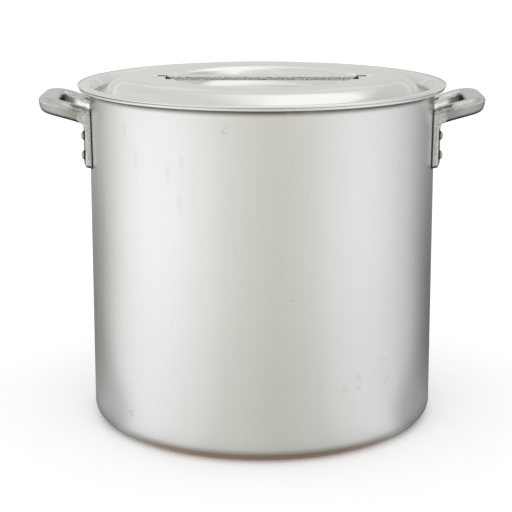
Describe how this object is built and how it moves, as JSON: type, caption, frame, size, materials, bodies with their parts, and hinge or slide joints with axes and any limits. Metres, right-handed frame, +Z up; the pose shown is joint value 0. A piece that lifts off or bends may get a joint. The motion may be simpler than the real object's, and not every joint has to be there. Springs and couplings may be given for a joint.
{
  "type": "soup pot",
  "caption": "Deep straight-sided aluminium stock pot with a turned-out rim, cast loop side handles riveted on, and a drop-in lid with a flush strap across a round finger dish.",
  "frame": {"origin": "middle of the flat base, on the surface the pot stands on", "axes": "+Z up along the pot's axis; +X through the right-hand loop handle, so the handles lie along X; -Y is the side seen in the picture"},
  "size_m": [0.47, 0.3902, 0.3659],
  "materials": {
    "pot_sheet": "satin, fine turned and brushed grain",
    "lid_sheet": "satin, smoother than the body",
    "strap_sheet": "satin face, rough sheared edges",
    "cast_handle": "as cast and tumbled, with small pits",
    "rivet": "satin domed heads"
  },
  "bodies": {
    "pot": {"pot_body": "pot_sheet", "right_handle": "cast_handle", "left_handle": "cast_handle", "right_handle_rivet_front_upper": "rivet", "right_handle_rivet_front_lower": "rivet", "right_handle_rivet_rear_upper": "rivet", "right_handle_rivet_rear_lower": "rivet", "left_handle_rivet_front_upper": "rivet", "left_handle_rivet_front_lower": "rivet", "left_handle_rivet_rear_upper": "rivet", "left_handle_rivet_rear_lower": "rivet"},
    "lid": {"lid": "lid_sheet", "lid_strap": "strap_sheet"}
  },
  "joints": [
    {"name": "lid_lift", "type": "slide", "parent": "pot", "child": "lid", "axis": [0, 0, 1], "range_m": [0, 0.25]}
  ]
}
